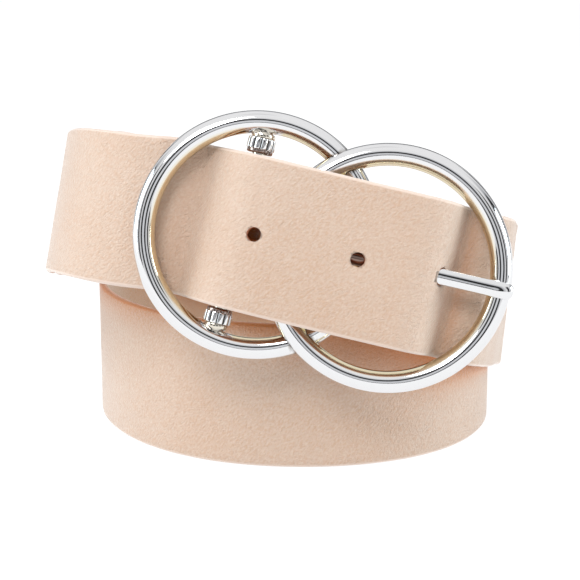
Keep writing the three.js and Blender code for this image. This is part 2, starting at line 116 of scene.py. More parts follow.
# Steps, sides, averaging windows, shares and powers of the visual model
ROUTE_STEPS = 80
LEAN_WINDOW = 40
CREASE_WINDOW = 30
STRIDE = 4
HOLE_STRIDE = 2
FACE_STEPS = 9
HOLE_BAND_STEPS = 17
TIP_STEPS = 26
TIP_SHARE = 0.985
TONGUE_ROUTE_STEPS = 40
TONGUE_STEPS = 90
TONGUE_SIDES = 40
TONGUE_TIP_ANGLES = (15, 30, 45, 58, 70, 80, 86)
TONGUE_TIP_CORE = 0.32
TONGUE_POWERS = (1.1, 0.9)
PASSAGE_POWERS = (0.75, 0.75)
RING_STEPS = 256
RING_SIDES = 44
ROD_SIDES = 48
BORE_SIDES = 40
FLUTE_STEPS = 12
FLUTE_POWER = 0.55
EDGE_ANGLES = (22.5, 45, 67.5, 90, 112.5, 135, 157.5)

LAYER = STRAP_THICKNESS + LAYER_GAP
HALF = STRAP_WIDTH / 2
COLLAR_START = HALF + END_GAP
RING_INNER = math.hypot(COLLAR_START + COLLAR_LENGTH + END_GAP, BAR_SETBACK + COLLAR_RADIUS)
RING_RADIUS = RING_INNER + TUBE_RADIUS
RING_OUTER = RING_RADIUS + TUBE_RADIUS
BAR_HALF = math.sqrt(RING_INNER ** 2 - BAR_SETBACK ** 2) + SOCKET_DEPTH - METAL_GAP
LEFT_REACH = RING_OUTER + LEFT_BULGE
RIGHT_REACH = RING_PITCH + RING_RADIUS + RIGHT_BULGE
COIL_RADIUS = (LEFT_REACH + RIGHT_REACH) / 2 * math.cos(BUCKLE_ROLL) - LOWER_INSET
LEFT_LEVEL = -RING_STEP / 2
RIGHT_LEVEL = RING_STEP / 2
TONGUE_LEVEL = RIGHT_LEVEL + TUBE_RADIUS + METAL_GAP + TONGUE_THICKNESS / 2
OVER_LEVEL = TONGUE_LEVEL + TONGUE_THICKNESS / 2 + LAYER_GAP + STRAP_THICKNESS / 2
LEFT_UNDER = LEFT_LEVEL - TUBE_RADIUS - LAYER_GAP - STRAP_THICKNESS / 2
RIGHT_UNDER = RIGHT_LEVEL - TUBE_RADIUS - LAYER_GAP - STRAP_THICKNESS / 2
BORE_RADIUS = BAR_RADIUS + METAL_GAP
EYE_RADIUS = BORE_RADIUS + EYE_WALL
BOSS_START = COLLAR_START + COLLAR_LENGTH + BOSS_GAP
FOLD_RADIUS = BORE_RADIUS + CHORD_TOLERANCE + STRAP_THICKNESS / 2
RISE = STRAP_WIDTH + TURN_CLEARANCE
RIGHT_ARC = RING_PITCH + RING_RADIUS
LEFT_ARC = -RING_RADIUS

# The buckle's own directions: u along the strap, v up across it, n out of its face
AXIS_U = np.array([
    math.cos(BUCKLE_ROLL),
    -math.sin(BUCKLE_ROLL) * math.sin(BUCKLE_PITCH),
    -math.sin(BUCKLE_ROLL) * math.cos(BUCKLE_PITCH),
])
AXIS_V = np.array([
    math.sin(BUCKLE_ROLL),
    math.cos(BUCKLE_ROLL) * math.sin(BUCKLE_PITCH),
    math.cos(BUCKLE_ROLL) * math.cos(BUCKLE_PITCH),
])
AXIS_N = np.array([0.0, -math.cos(BUCKLE_PITCH), math.sin(BUCKLE_PITCH)])


def ring_reach():
    """Half the size of one ring's box along each direction, in millimetres."""
    return RING_RADIUS * np.sqrt(1 - AXIS_N ** 2) + TUBE_RADIUS


def buckle_origin():
    """Middle of the left ring's plane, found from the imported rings' box."""
    low, high = (np.array(corner) * 1000 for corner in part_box("double_ring"))
    left = AXIS_N * LEFT_LEVEL
    right = AXIS_U * RING_PITCH + AXIS_N * RIGHT_LEVEL
    reach = ring_reach()
    middle = (np.minimum(left - reach, right - reach) + np.maximum(left + reach, right + reach)) / 2
    return (low + high) / 2 - middle


ORIGIN = buckle_origin()
COIL_AXIS = ORIGIN - np.array([
    LOOP_SHIFT - (RIGHT_REACH - LEFT_REACH) / 2 * math.cos(BUCKLE_ROLL),
    -(COIL_RADIUS + STAND_OFF),
    HALF + RISE,
])


def in_buckle(u, v, n):
    return ORIGIN + AXIS_U * u + AXIS_V * v + AXIS_N * n


# The strap's way, in the same shares as the part's source
RIGHT_SLOPE = [
    (1, 0.98), (0.89, 0.9), (0.78, 0.66), (0.66, 0.37),
    (0.52, 0.146), (0.32, 0.023), (0, 0),
]
LEFT_SLOPE = [
    (0, 0), (0.195, 0.034), (0.39, 0.107), (0.6, 0.329),
    (0.747, 0.59), (0.856, 0.84), (0.965, 0.987),
]
LEFT_CORNER = [
    (0.19, 0.133, -0.054), (0.52, 0.22, -0.071), (0.785, 0.4, -0.082),
    (0.945, 0.64, -0.1), (1, 0.94, -0.125),
]
RIGHT_CORNER = [
    (0.915, 1, 0.024), (0.75, 0.812, 0.023), (0.571, 0.625, 0.022),
    (0.397, 0.437, 0.02), (0.19, 0.28, 0.018), (0.04, 0.172, 0.018),
]

# turn, out, layer, height, roll, pitch
FIRST_TURN = [
    (0.278, 0.62, 0, 0.922, 0.57, 1),
    (0.306, 0.2, -0.1, 0.9, 0.55, 0.95),
    (0.328, 0, -0.35, 0.85, 0.5, 0.9),
    (0.356, 0, -0.65, 0.775, 0.45, 0.8),
    (0.417, 0, -0.65, 0.588, 0.35, 0.65),
    (0.5, 0, -0.55, 0.344, 0.2, 0.45),
    (0.57, 0, -0.45, 0.171, 0.1, 0.25),
    (0.64, 0, -0.25, 0.053, 0.03, 0.08),
    (0.695, 0, -0.05, 0.006, 0, 0),
]
LOWER_TURN_START = 0.73
LOWER_TURN_END = 1.25
LOWER_TURN_ROWS = 12
SECOND_TURN = [
    (1.278, 0, 0.5, 0, 0, 0),
    (1.306, 0, 1.1, 0, 0, 0),
    (1.334, 0, 1.6, 0.008, 0.02, 0.05),
    (1.389, 0, 1.85, 0.05, 0.08, 0.2),
    (1.444, 0, 1.85, 0.114, 0.15, 0.35),
    (1.5, 0, 1.85, 0.183, 0.22, 0.5),
    (1.569, 0.03, 1.95, 0.257, 0.3, 0.7),
    (1.639, 0.15, 2, 0.308, 0.4, 0.9),
    (1.689, 0.32, 1.7, 0.332, 0.47, 1),
]
FREE_END = [
    (2.269, 0.94, 1, 0.922, 0.58, 1.05),
    (2.306, 0.77, 1, 0.874, 0.56, 1),
    (2.345, 0.55, 1, 0.812, 0.55, 0.95),
    (2.39, 0.35, 1, 0.745, 0.5, 0.9),
]
CORNER_LEAN = (0.6, 1.05)
RIGHT_CORNER_LEAN = (0.46, 1.08)
RIGHT_ARC_TUCK = 1.4
LEFT_ARC_TUCK = 0.3
TAB_LAYERS_IN = 2.05
TAB_ROWS = slice(6, 11)
FIXED_FIRST_ROW = 3


def strap_v(u):
    return math.tan(STRAP_SKEW) * u


EDGE_REACH = HALF + strap_v(RIGHT_ARC)
FLAT_RUN = RING_RADIUS - math.sqrt(RING_RADIUS ** 2 - EDGE_REACH ** 2) + TUBE_RADIUS
CREST_START = RIGHT_ARC - FLAT_RUN - RIGHT_SLOPE_RUN
CREST_END = LEFT_ARC + FLAT_RUN + LEFT_SLOPE_RUN


def mix(a, b, share):
    return a + (b - a) * share


def slope_rows(rows, crest, run, level):
    return [(crest + along * run, mix(OVER_LEVEL, level, drop)) for along, drop in rows]


def with_v(rows):
    return [(u, strap_v(u), n) for u, n in rows]


FREE_RIGHT = with_v(
    [
        (RIGHT_ARC - RIGHT_ARC_LEAD, RIGHT_UNDER - RIGHT_ARC_TUCK),
        (RIGHT_ARC - FLAT_RUN / 2, RIGHT_UNDER),
    ]
    + slope_rows(RIGHT_SLOPE, CREST_START, RIGHT_SLOPE_RUN, RIGHT_UNDER)
)
FREE_LEFT = with_v(
    slope_rows(LEFT_SLOPE, CREST_END, -LEFT_SLOPE_RUN, LEFT_UNDER)
    + [(LEFT_ARC + FLAT_RUN / 2, LEFT_UNDER)]
) + [(LEFT_ARC, strap_v(LEFT_ARC) - LEFT_ARC_SLIP, LEFT_UNDER - LEFT_ARC_TUCK)]
LEFT_CORNER_ROWS = [
    (-(RING_OUTER + out * LEFT_BULGE), slide * STRAP_WIDTH, -back * CORNER_DEPTH)
    for out, back, slide in LEFT_CORNER
]
RIGHT_CORNER_ROWS = [
    (RIGHT_ARC + out * RIGHT_BULGE, slide * STRAP_WIDTH, -back * CORNER_DEPTH)
    for out, back, slide in RIGHT_CORNER
]


def moved_in(rows, layers):
    moved = []
    for i, (u, v, n) in enumerate(rows):
        before = rows[max(i - 1, 0)]
        after = rows[min(i + 1, len(rows) - 1)]
        run_u = after[0] - before[0]
        run_n = after[2] - before[2]
        length = math.hypot(run_u, run_n)
        moved.append((
            u - run_n / length * layers * LAYER, v, n + run_u / length * layers * LAYER,
        ))
    return moved


def fold_rows():
    rows = []
    for degrees in range(-90, 91, 30):
        angle = math.radians(degrees)
        rows.append((
            -BAR_SETBACK + FOLD_RADIUS * math.cos(angle), 0,
            LEFT_LEVEL + FOLD_RADIUS * math.sin(angle),
        ))
    return rows


def turn_point(row):
    turn, out, layer, height, roll, pitch = row
    angle = turn * 2 * math.pi
    radius = COIL_RADIUS + out * LOWER_INSET + layer * LAYER
    place = COIL_AXIS + np.array([
        -radius * math.sin(angle), -radius * math.cos(angle), HALF + height * RISE,
    ])
    return place, roll, pitch


def upright(rows):
    return [(in_buckle(*row), 1.0, 1.0) for row in rows]


def leaning(rows, lean):
    result = []
    for i, row in enumerate(rows):
        share = (i + 1) / len(rows)
        result.append((in_buckle(*row), mix(1, lean[0], share), mix(1, lean[1], share)))
    return result


def strap_route():
    left_run = FREE_LEFT + LEFT_CORNER_ROWS
    tab = moved_in(left_run, TAB_LAYERS_IN)[TAB_ROWS]
    fixed = moved_in(left_run, 1)
    route = upright(tab[::-1]) + upright(fold_rows())
    route += upright(fixed[FIXED_FIRST_ROW:len(FREE_LEFT)])
    route += leaning(fixed[len(FREE_LEFT):], CORNER_LEAN)
    route += [turn_point(row) for row in FIRST_TURN]
    for i in range(LOWER_TURN_ROWS + 1):
        turn = mix(LOWER_TURN_START, LOWER_TURN_END, i / LOWER_TURN_ROWS)
        diagonal = math.sin((1 - turn) * 4 * math.pi)
        bulge = LOWER_SKEW * diagonal + LOWER_SQUARENESS * diagonal ** 2
        route.append(turn_point((turn, bulge / LOWER_INSET, 0, 0, 0, 0)))
    route += [turn_point(row) for row in SECOND_TURN]
    route += leaning(RIGHT_CORNER_ROWS[::-1], RIGHT_CORNER_LEAN)[::-1]
    route += upright(FREE_RIGHT) + upright(FREE_LEFT)
    route += leaning(LEFT_CORNER_ROWS, CORNER_LEAN)
    route += [turn_point(row) for row in FREE_END]
    return route


def through(points, steps):
    """A centripetal spline through the points, with its share of each stretch."""
    padded = np.vstack([2 * points[0] - points[1], points, 2 * points[-1] - points[-2]])
    places = []
    shares = []
    for i in range(len(points) - 1):
        p0, p1, p2, p3 = padded[i:i + 4]
        d0 = np.linalg.norm(p1 - p0) ** 0.5
        d1 = np.linalg.norm(p2 - p1) ** 0.5
        d2 = np.linalg.norm(p3 - p2) ** 0.5
        t1 = ((p1 - p0) / d0 - (p2 - p0) / (d0 + d1) + (p2 - p1) / d1) * d1
        t2 = ((p2 - p1) / d1 - (p3 - p1) / (d1 + d2) + (p3 - p2) / d2) * d1
        last = i == len(points) - 2
        t = np.linspace(0, 1, steps, endpoint=False) if not last else np.linspace(0, 1, steps)
        t = t[:, None]
        places.append(
            p1 + t1 * t + (-3 * p1 + 3 * p2 - 2 * t1 - t2) * t ** 2
            + (2 * p1 - 2 * p2 + t1 + t2) * t ** 3
        )
        shares.append(i + t[:, 0])
    return np.vstack(places), np.concatenate(shares)


def evened(values, window):
    """A moving average that keeps the ends."""
    padded = np.concatenate([
        np.full(window, values[0]), values, np.full(window, values[-1]),
    ])
    kernel = np.hanning(2 * window + 1)
    return np.convolve(padded, kernel / kernel.sum(), mode="same")[window:-window]


def unit(vectors):
    return vectors / np.linalg.norm(vectors, axis=-1, keepdims=True)


class Way:
    """The strap's middle line with its directions, a station every STEP millimetres."""

    def __init__(self):
        route = strap_route()
        fine, share = through(np.array([row[0] for row in route]), ROUTE_STEPS)
        along = np.concatenate([[0], np.cumsum(np.linalg.norm(np.diff(fine, axis=0), axis=1))])
        count = int(along[-1] / STEP) + 1
        self.along = np.linspace(0, along[-1], count)
        self.place = np.column_stack([np.interp(self.along, along, fine[:, k]) for k in range(3)])
        at = np.interp(self.along, along, share)
        rows = np.arange(len(route))
        roll = evened(np.interp(at, rows, [row[1] for row in route]), LEAN_WINDOW)
        pitch = evened(np.interp(at, rows, [row[2] for row in route]), LEAN_WINDOW)
        up = np.column_stack([
            roll * AXIS_V[0] / AXIS_V[2], pitch * AXIS_V[1] / AXIS_V[2], np.ones(count),
        ])
        self.run = unit(np.gradient(self.place, axis=0))
        up -= self.run * np.sum(up * self.run, axis=1)[:, None]
        self.up = unit(up)
        self.out = unit(np.cross(self.up, self.run))
        local = self.place - ORIGIN
        self.u = local @ AXIS_U
        self.n = local @ AXIS_N
        self.mark()

    def index(self, millimetres):
        return int(round(millimetres / STEP))

    def mark(self):
        count = len(self.along)
        for i in range(count // 2, count):
            if CREST_START < self.u[i] < RIGHT_ARC and self.n[i] > TONGUE_LEVEL:
                self.tongue_hole = i
                break
        bend = in_buckle(-BAR_SETBACK + FOLD_RADIUS, 0, LEFT_LEVEL)
        quarter = self.place[:count // 4]
        fold = int(np.argmin(np.linalg.norm(quarter - bend, axis=1)))
        self.start = max(fold - self.index(TAB_LENGTH), 0)
        last_hole = self.tongue_hole + self.index(HOLES_EACH_SIDE * HOLE_PITCH)
        self.end = min(last_hole + self.index(TIP_PAST_LAST_HOLE), count - 1)


way = Way()


def metres(points):
    return np.asarray(points) * 0.001


def new_object(name, vertices, faces):
    mesh = bpy.data.meshes.new(name)
    mesh.from_pydata(metres(vertices).tolist(), [], faces)
    mesh.update()
    thing = bpy.data.objects.new(name, mesh)
    bpy.context.scene.collection.objects.link(thing)
    mesh.shade_smooth()
    return thing


def add_layer(thing, name, values):
    layer = thing.data.attributes.new(name, "FLOAT", "POINT")
    layer.data.foreach_set("value", np.asarray(values, dtype=float))


def grid_faces(rows, size, closed_rows=False):
    """Quads over a grid whose rows are closed rings of points."""
    faces = []
    last = rows if closed_rows else rows - 1
    for i in range(last):
        a = i * size
        b = (i + 1) % rows * size
        for j in range(size):
            k = (j + 1) % size
            faces.append((a + j, a + k, b + k, b + j))
    return faces


def tube_with_caps(name, rings):
    """A closed body through rings of points, each end closed to a middle point."""
    rows = len(rings)
    size = len(rings[0])
    vertices = np.vstack([np.vstack(rings), np.mean(rings[0], axis=0), np.mean(rings[-1], axis=0)])
    faces = grid_faces(rows, size)
    first = rows * size
    for j in range(size):
        k = (j + 1) % size
        faces.append((j, first, k))
        faces.append(((rows - 1) * size + k, first + 1, (rows - 1) * size + j))
    return new_object(name, vertices, faces)


def sharpen(thing, degrees):
    """Keep the edges crisp where two faces meet at more than this angle."""
    thing.data.set_sharp_from_angle(angle=math.radians(degrees))


def from_origin(thing):
    """The vertices' places from the buckle's origin, in millimetres."""
    points = np.empty(len(thing.data.vertices) * 3)
    thing.data.vertices.foreach_get("co", points)
    return points.reshape(-1, 3) * 1000 - ORIGIN


def circle(middle, radius, side, other, count):
    angles = np.linspace(0, 2 * math.pi, count, endpoint=False)
    return np.array([
        middle + radius * (side * math.cos(angle) + other * math.sin(angle)) for angle in angles
    ])


def boolean(target, cutter, operation):
    modifier = target.modifiers.new("cut", "BOOLEAN")
    modifier.operation = operation
    modifier.solver = "MANIFOLD"
    modifier.object = cutter
    with bpy.context.temp_override(object=target, active_object=target):
        bpy.ops.object.modifier_apply(modifier=modifier.name)
    bpy.data.objects.remove(cutter)


def strap_section():
    """Points round the strap's section: across, out, share of the edge, share of the inner side."""
    face = HALF - EDGE_ROUNDING
    thick = STRAP_THICKNESS / 2
    across = np.concatenate([
        np.linspace(-face, -HOLE_BAND, FACE_STEPS, endpoint=False),
        np.linspace(-HOLE_BAND, HOLE_BAND, HOLE_BAND_STEPS),
        np.linspace(face, HOLE_BAND, FACE_STEPS, endpoint=False)[::-1],
    ])
    rows = [(v, -thick, 0.0, 1.0) for v in across[::-2]]
    for degrees in EDGE_ANGLES:
        angle = math.radians(degrees)
        v = -face - EDGE_ROUNDING * math.sin(angle)
        rows.append((v, -thick * math.cos(angle), 1.0, 1.0 - degrees / 180))
    rows += [(v, thick, 0.0, 0.0) for v in across]
    for degrees in EDGE_ANGLES:
        angle = math.radians(degrees)
        v = face + EDGE_ROUNDING * math.sin(angle)
        rows.append((v, thick * math.cos(angle), 1.0, degrees / 180))
    return np.array(rows)


def hole_stations():
    return [
        way.tongue_hole + way.index(k * HOLE_PITCH - TONGUE_HOLE_LEAD)
        for k in range(-HOLES_EACH_SIDE, HOLES_EACH_SIDE + 1) if k
    ]


def strap_surface(section, stations, half):
    """The vertices of the strap with its soft unevenness, a ring per station."""
    across = section[:, 0] / HALF
    v = across[None, :] * half[:, None]
    s = way.along[stations][:, None] * np.ones_like(v)
    face = (1 - section[:, 3])[None, :]
    n = section[:, 1][None, :] * np.ones_like(v)
    swell = SWELL * np.sin(s / 7.3 + 1.3 * np.sin(v / 9.1)) * np.sin(v / 6.1 + s / 23)
    n = n + swell
    flare = 1 - np.abs(across[None, :]) ** 6
    for centre in hole_stations():
        near = np.hypot(s - way.along[centre], v)
        lip = np.exp(-((near - HOLE_DIAMETER / 2) / LIP_WIDTH) ** 2)
        n = n - LIP_DEPTH * lip * face * flare
    wave = EDGE_WAVE * np.sin(s / EDGE_WAVE_LENGTH) * np.abs(across[None, :]) ** 3
    return (
        way.place[stations][:, None, :]
        + way.up[stations][:, None, :] * (v + wave)[:, :, None]
        + way.out[stations][:, None, :] * n[:, :, None]
    )


def build_strap():
    tip_start = way.end - way.index(HALF)
    body = []
    at = way.start
    while at < tip_start:
        body.append(at)
        near_hole = min(abs(at - centre) for centre in hole_stations()) < way.index(HOLE_BAND)
        at += HOLE_STRIDE if near_hole else STRIDE
    angles = np.linspace(0, math.pi / 2 * TIP_SHARE, TIP_STEPS)
    tip = [tip_start + way.index(HALF * math.sin(a)) for a in angles]
    stations = np.array(body + tip)
    half = np.concatenate([np.full(len(body), HALF), HALF * np.cos(angles)])
    section = strap_section()
    points = strap_surface(section, stations, half)
    size = len(section)
    strap = tube_with_caps("strap_leather", list(points))
    bend = np.sum(np.gradient(way.run, STEP, axis=0) * way.out, axis=1)
    crease = np.clip(evened(np.abs(bend), CREASE_WINDOW) * CREASE_RADIUS - CREASE_START, 0, 1)
    values = {
        "crease": np.repeat(crease[stations], size),
        "edge": np.tile(section[:, 2], len(stations)),
        "inner": np.tile(section[:, 3], len(stations)),
        "along": np.repeat(way.along[stations] * 0.001, size),
        "across": (section[:, 0][None, :] * (half / HALF)[:, None]).ravel() * 0.001,
    }
    for name, data in values.items():
        add_layer(strap, name, np.concatenate([data, data[:1], data[-1:]]))
    return strap


def raw_walls(strap):
    """Give the faces that the punch left to the second material, the bare cut leather."""
    mesh = strap.data
    count = len(mesh.polygons)
    middles = np.empty(count * 3)
    mesh.polygons.foreach_get("center", middles)
    normals = np.empty(count * 3)
    mesh.polygons.foreach_get("normal", normals)
    middles = middles.reshape(-1, 3) * 1000
    normals = normals.reshape(-1, 3)
    raw = np.zeros(count, dtype=np.int32)
    for centre in hole_stations():
        offset = middles - way.place[centre]
        out = way.out[centre]
        beside = np.linalg.norm(offset - np.outer(offset @ out, out), axis=1)
        wall = (beside < HOLE_DIAMETER / 2 + WALL_MARGIN) & (np.abs(normals @ out) < 0.5)
        raw[wall & (np.abs(offset @ out) < STRAP_THICKNESS)] = 1
    mesh.polygons.foreach_set("material_index", raw)


def cylinder(name, centre, direction, radius, length, sides):
    direction = unit(np.asarray(direction, float))
    side = unit(np.cross(direction, [0.3, 0.5, 0.8]))
    other = np.cross(direction, side)
    ends = [centre + direction * length * share for share in (-0.5, 0.5)]
    return tube_with_caps(name, [circle(end, radius, side, other, sides) for end in ends])


BAR_CENTRE = in_buckle(-BAR_SETBACK, 0, LEFT_LEVEL)

# Tongue: rows of u and n in the buckle's frame
TONGUE_ROWS = [
    (-BAR_SETBACK + EYE_RADIUS * 2 / 3, LEFT_LEVEL + EYE_RADIUS / 2),
    (-BAR_SETBACK + EYE_RADIUS * 4 / 3, TONGUE_LEVEL - 3),
    (RING_PITCH - RING_OUTER, TONGUE_LEVEL - 0.5),
    (RING_PITCH - RING_RADIUS, TONGUE_LEVEL),
    (RING_PITCH, TONGUE_LEVEL),
    (RING_PITCH + RING_INNER, TONGUE_LEVEL),
    (RIGHT_ARC, TONGUE_LEVEL),
    (RING_PITCH + RING_OUTER, TONGUE_LEVEL - 0.75),
]


def rounded(value, power):
    return math.copysign(abs(value) ** power, value)


def tongue_rings(extra, wide_power, thick_power):
    """Rings round the tongue, larger by extra all round; the powers set how square they are."""
    points = np.array([
        (u, math.tan(TONGUE_SKEW) * (u + BAR_SETBACK), n) for u, n in TONGUE_ROWS
    ])
    fine, _ = through(points, TONGUE_ROUTE_STEPS)
    along = np.concatenate([[0], np.cumsum(np.linalg.norm(np.diff(fine, axis=0), axis=1))])
    length = along[-1]
    stops = [(i / TONGUE_STEPS * (length - TONGUE_TIP), 1.0) for i in range(TONGUE_STEPS + 1)]
    for degrees in TONGUE_TIP_ANGLES:
        angle = math.radians(degrees)
        size = TONGUE_TIP_CORE + (1 - TONGUE_TIP_CORE) * math.cos(angle)
        stops.append((length - TONGUE_TIP + TONGUE_TIP * math.sin(angle), size))
    rings = []
    for at, size in stops:
        place, ahead, behind = (
            np.array([np.interp(stop, along, fine[:, k]) for k in range(3)])
            for stop in (at, min(at + TONGUE_LOOK_AHEAD, length), max(at - TONGUE_LOOK_AHEAD, 0))
        )
        run = unit(ahead - behind)
        across = np.array([0.0, 1.0, 0.0])
        across = unit(across - run * np.dot(across, run))
        out = np.cross(run, across)
        ring = []
        for j in range(TONGUE_SIDES):
            angle = (j + 0.5) / TONGUE_SIDES * 2 * math.pi
            wide = (TONGUE_WIDTH / 2 * size + extra) * rounded(math.cos(angle), wide_power)
            thick = (TONGUE_THICKNESS / 2 * size + extra) * rounded(math.sin(angle), thick_power)
            local = place + across * wide + out * thick
            ring.append(in_buckle(*local))
        rings.append(np.array(ring))
    return rings


def build_tongue():
    tongue = tube_with_caps("tongue_chrome", tongue_rings(0, *TONGUE_POWERS))
    eye_half = EYE_WIDTH / 2
    # radius and place along the bar
    profile = [
        (BORE_RADIUS, -eye_half + EYE_BEVEL), (BORE_RADIUS + EYE_BEVEL, -eye_half),
        (EYE_RADIUS - EYE_ROUNDING, -eye_half), (EYE_RADIUS - 0.12, -eye_half + 0.12),
        (EYE_RADIUS, -eye_half + EYE_ROUNDING), (EYE_RADIUS, eye_half - EYE_ROUNDING),
        (EYE_RADIUS - 0.12, eye_half - 0.12), (EYE_RADIUS - EYE_ROUNDING, eye_half),
        (BORE_RADIUS + EYE_BEVEL, eye_half), (BORE_RADIUS, eye_half - EYE_BEVEL),
    ]
    vertices = []
    for i in range(BORE_SIDES):
        angle = i / BORE_SIDES * 2 * math.pi
        for radius, v in profile:
            vertices.append(
                BAR_CENTRE + AXIS_V * v
                + radius * (AXIS_U * math.cos(angle) + AXIS_N * math.sin(angle))
            )
    faces = grid_faces(BORE_SIDES, len(profile), closed_rows=True)
    eye = new_object("tongue_eye", np.array(vertices), faces)
    bore = cylinder("bore", BAR_CENTRE, AXIS_V, BORE_RADIUS, EYE_WIDTH * 2, BORE_SIDES)
    boolean(tongue, bore, "DIFFERENCE")
    boolean(tongue, eye, "UNION")
    local = from_origin(tongue)
    # Mask for painted shade: the tongue's outer side under the strap takes a deep brown
    under_strap = np.clip((way.u[way.tongue_hole] - local @ AXIS_U) / COVER_FADE - 1, 0, 1)
    outer_side = np.clip((local @ AXIS_N - TONGUE_LEVEL) / COVER_FADE, 0, 1)
    add_layer(tongue, "covered", under_strap * outer_side)
    sharpen(tongue, 38)
    return tongue


def torus(name, centre):
    vertices = []
    for i in range(RING_STEPS):
        angle = i / RING_STEPS * 2 * math.pi
        out = AXIS_U * math.cos(angle) + AXIS_V * math.sin(angle)
        for j in range(RING_SIDES):
            round_angle = j / RING_SIDES * 2 * math.pi
            reach = RING_RADIUS + TUBE_RADIUS * math.cos(round_angle)
            vertices.append(centre + out * reach + AXIS_N * TUBE_RADIUS * math.sin(round_angle))
    faces = grid_faces(RING_STEPS, RING_SIDES, closed_rows=True)
    return new_object(name, np.array(vertices), faces)


def off_tube(u, v, n, pitch, level):
    """How far a spot lies from the surface of the ring at this pitch and level."""
    off_middle = np.hypot(u - pitch, v) - RING_RADIUS
    return np.abs(np.hypot(off_middle, n - level) - TUBE_RADIUS)


def build_rings():
    """The two joined rings, with how near a spot is to the seam and to the inner side."""
    rings = torus("double_ring_chrome", in_buckle(0, 0, LEFT_LEVEL))
    right_ring = torus("ring_right", in_buckle(RING_PITCH, 0, RIGHT_LEVEL))
    boolean(rings, right_ring, "UNION")
    local = from_origin(rings)
    u = local @ AXIS_U
    v = local @ AXIS_V
    n = local @ AXIS_N
    left = off_tube(u, v, n, 0, LEFT_LEVEL)
    right = off_tube(u, v, n, RING_PITCH, RIGHT_LEVEL)
    # The seam mask carries painted shade: a dark line where the two rings meet
    seam = np.clip(1 - np.maximum(left, right) / SEAM_WIDTH, 0, 1)
    on_left = left < right
    reach = np.where(on_left, np.hypot(u, v), np.hypot(u - RING_PITCH, v))
    inward = np.clip((RING_RADIUS - reach) / TUBE_RADIUS, 0, 1)
    # the painted reflection on the inner side stops where the bar's bosses meet the left ring
    off_bar = np.abs(u + BAR_SETBACK) / BOSS_RADIUS
    inward *= np.where(on_left, np.clip(off_bar - 0.8, 0, 1), 1)
    add_layer(rings, "seam", seam)
    add_layer(rings, "inward", inward)
    sharpen(rings, 40)
    return rings


def build_bar():
    """The rod, with a smooth boss between each collar and the ring."""
    # place along the bar and radius
    profile = [
        (BOSS_START, BAR_RADIUS), (BOSS_START + 0.01, BOSS_RADIUS - 0.25),
        (BOSS_START + 0.08, BOSS_RADIUS - 0.07), (BOSS_START + 0.25, BOSS_RADIUS),
        (BOSS_START + BOSS_LENGTH, BOSS_RADIUS),
        (BOSS_START + BOSS_LENGTH + 0.25, BOSS_RADIUS - 0.15),
        (BAR_HALF - 0.6, BAR_RADIUS + 0.3), (BAR_HALF, BAR_RADIUS),
    ]
    stops = [(-v, radius) for v, radius in profile[::-1]] + profile
    bar = tube_with_caps("bar_chrome", [
        circle(BAR_CENTRE + AXIS_V * v, radius, AXIS_N, AXIS_U, ROD_SIDES) for v, radius in stops
    ])
    sharpen(bar, 40)
    return bar


def build_collar(name, side):
    """A fluted drum with a smooth flange on the strap's side."""
    steps = COLLAR_FLUTES * FLUTE_STEPS
    # radius, height above the strap's side, share of the flute's depth
    profile = [
        (BORE_RADIUS, 0.0, 0), (COLLAR_FLANGE_RADIUS - COLLAR_ROUNDING, 0.0, 0),
        (COLLAR_FLANGE_RADIUS - 0.1, 0.12, 0), (COLLAR_FLANGE_RADIUS, COLLAR_ROUNDING, 0),
        (COLLAR_FLANGE_RADIUS, COLLAR_FLANGE_LENGTH, 0),
        (COLLAR_RADIUS - 0.35, COLLAR_FLANGE_LENGTH + 0.02, 0.3),
        (COLLAR_RADIUS - 0.08, COLLAR_FLANGE_LENGTH + 0.12, 0.8),
        (COLLAR_RADIUS, COLLAR_FLANGE_LENGTH + COLLAR_ROUNDING, 1),
        (COLLAR_RADIUS, COLLAR_LENGTH - COLLAR_ROUNDING, 1),
        (COLLAR_RADIUS - 0.08, COLLAR_LENGTH - 0.12, 0.8),
        (COLLAR_RADIUS - 0.35, COLLAR_LENGTH, 0.3),
        (BORE_RADIUS, COLLAR_LENGTH, 0),
    ]
    vertices = []
    grooves = []
    flanges = []
    for i in range(steps):
        angle = i / steps * 2 * math.pi
        groove = abs(math.sin(angle * COLLAR_FLUTES / 2)) ** FLUTE_POWER
        for radius, v, share in profile:
            reach = radius - FLUTE_DEPTH * share * (1 - groove)
            # The groove mask carries painted shade into the flutes' hollows
            grooves.append((1 - groove) * min(1, share * 2))
            flanges.append(float(v <= COLLAR_FLANGE_LENGTH))
            vertices.append(
                BAR_CENTRE + AXIS_V * side * (COLLAR_START + v)
                + reach * (AXIS_U * math.cos(angle) + side * AXIS_N * math.sin(angle))
            )
    faces = grid_faces(steps, len(profile), closed_rows=True)
    collar = new_object(name, np.array(vertices), faces)
    add_layer(collar, "groove", grooves)
    add_layer(collar, "flange", flanges)
    sharpen(collar, 45)
    return collar


# Materials
WHITE = (1, 1, 1)
BLACK = (0, 0, 0)
LEATHER = (0.585, 0.432, 0.335)
LEATHER_DEEP = (0.52, 0.3, 0.18)
LEATHER_SHADED = (0.58, 0.2, 0.042)
LEATHER_PALE = (0.66, 0.53, 0.44)
EDGE_PAINT = (0.73, 0.58, 0.49)
LINING = (0.52, 0.36, 0.25)
RAW = (0.78, 0.38, 0.22)
RAW_DEEP = (0.5, 0.19, 0.1)
CHROME = (0.8, 0.8, 0.81)
CHROME_WARM = (0.74, 0.69, 0.6)
CHROME_FLUTED = (0.84, 0.84, 0.85)
CHROME_LEATHER_REFLECTION = (0.76, 0.64, 0.36)
SEAM_SHADE = (0.2, 0.17, 0.14)
TONGUE_SHADE_UNDER_STRAP = (0.16, 0.08, 0.05)
GROOVE_SHADE = (0.03, 0.022, 0.02)
FLANGE_REFLECTION = (0.2, 0.13, 0.1)

